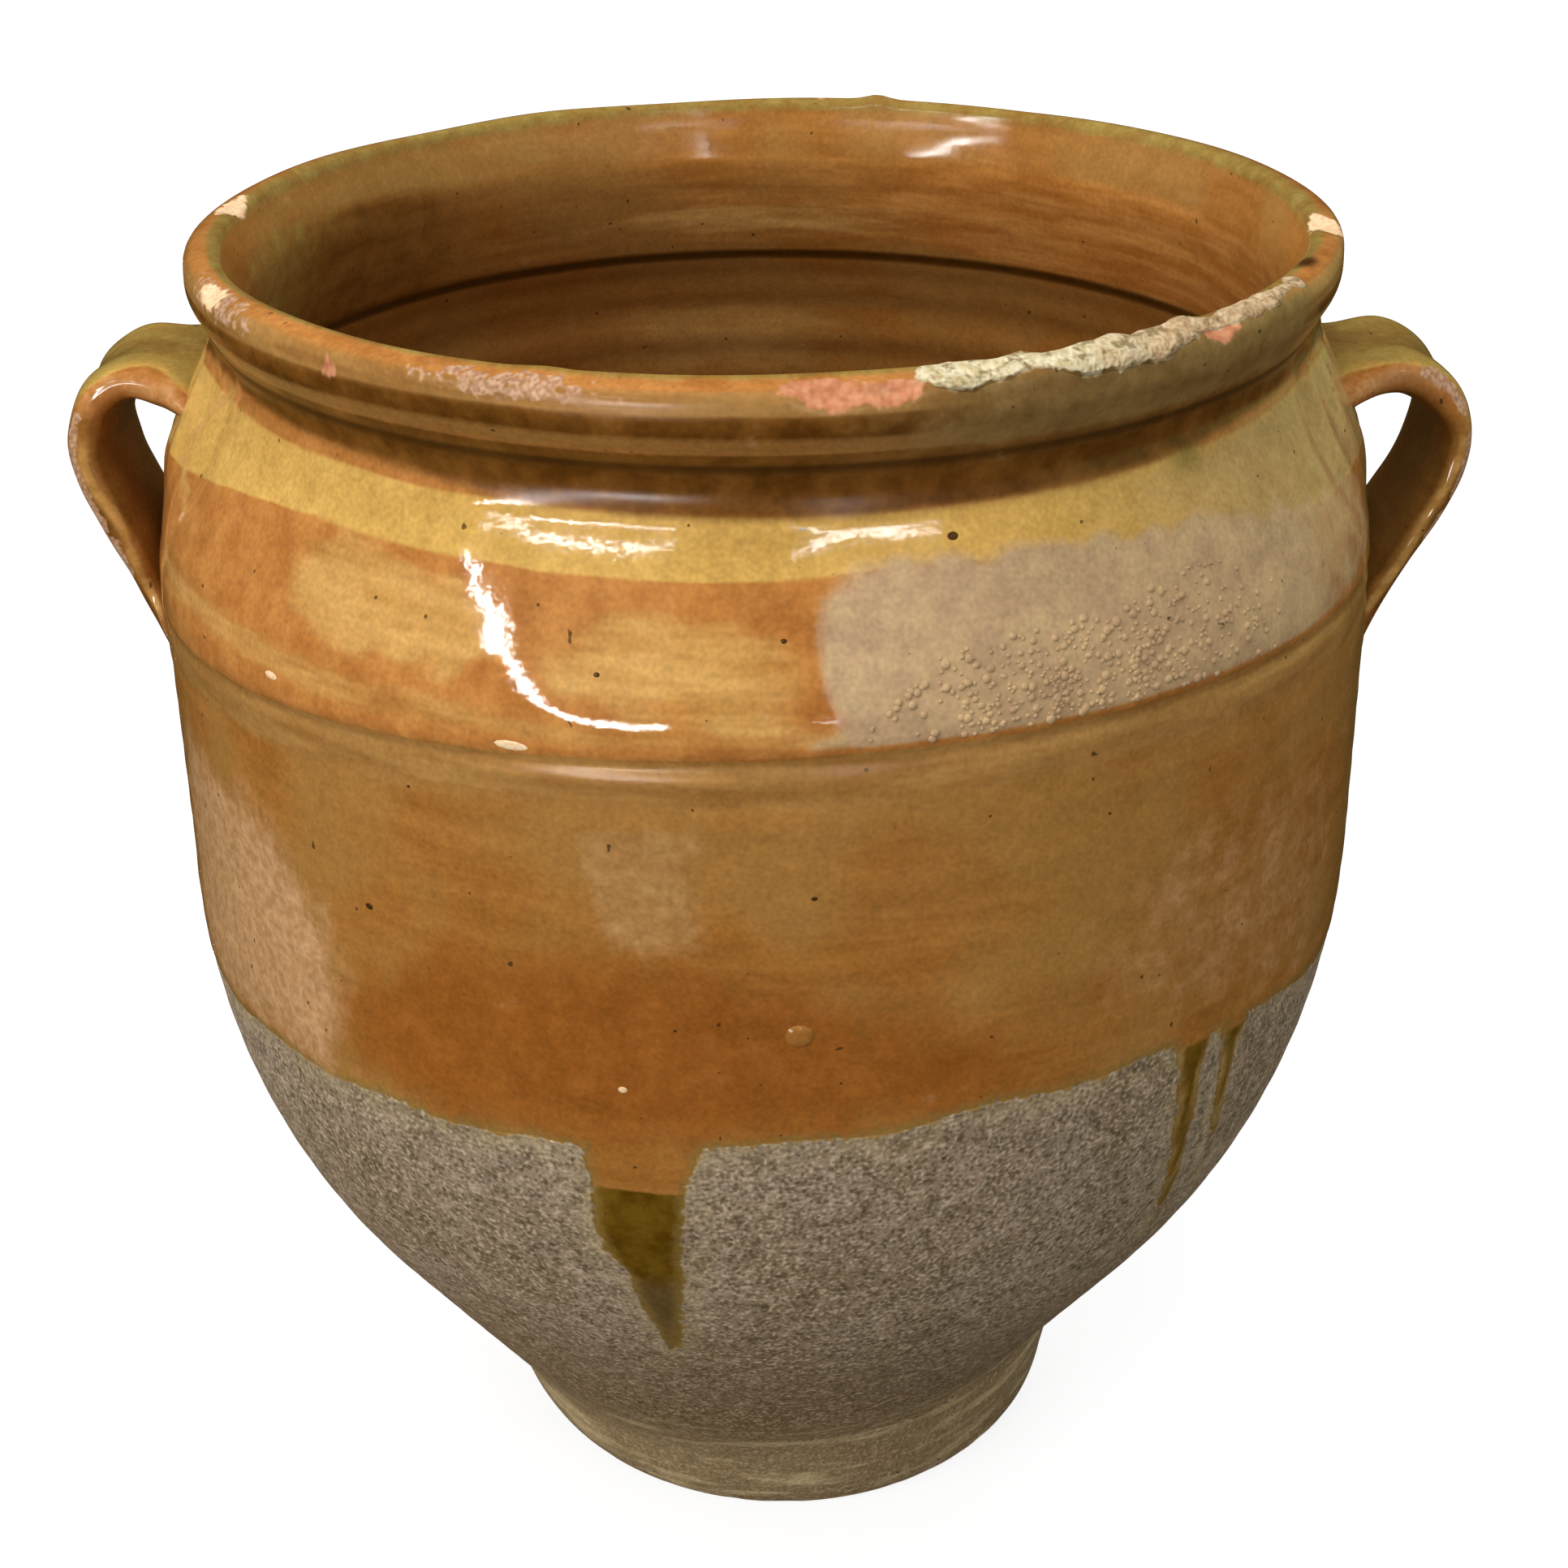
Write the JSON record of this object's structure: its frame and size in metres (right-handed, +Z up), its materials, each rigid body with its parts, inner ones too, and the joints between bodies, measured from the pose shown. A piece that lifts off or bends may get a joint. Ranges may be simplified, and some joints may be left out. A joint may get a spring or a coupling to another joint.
{
  "type": "confit pot",
  "caption": "Tall round-bellied earthenware storage pot with a wide mouth, a rolled rim, a narrow turned foot and upright strap handles at the shoulder.",
  "frame": {"origin": "on the thrown axis, in the plane that the foot rests on", "axes": "+Z up the thrown axis towards the mouth, X through both handles, -Y towards the side with the long glaze drip"},
  "size_m": [0.2725, 0.2408, 0.2765],
  "materials": {
    "glazed_earthenware": "honey yellow lead glaze over the upper two thirds, bare greyish biscuit below"
  },
  "bodies": {
    "root": {"pot": "glazed_earthenware"}
  },
  "joints": []
}
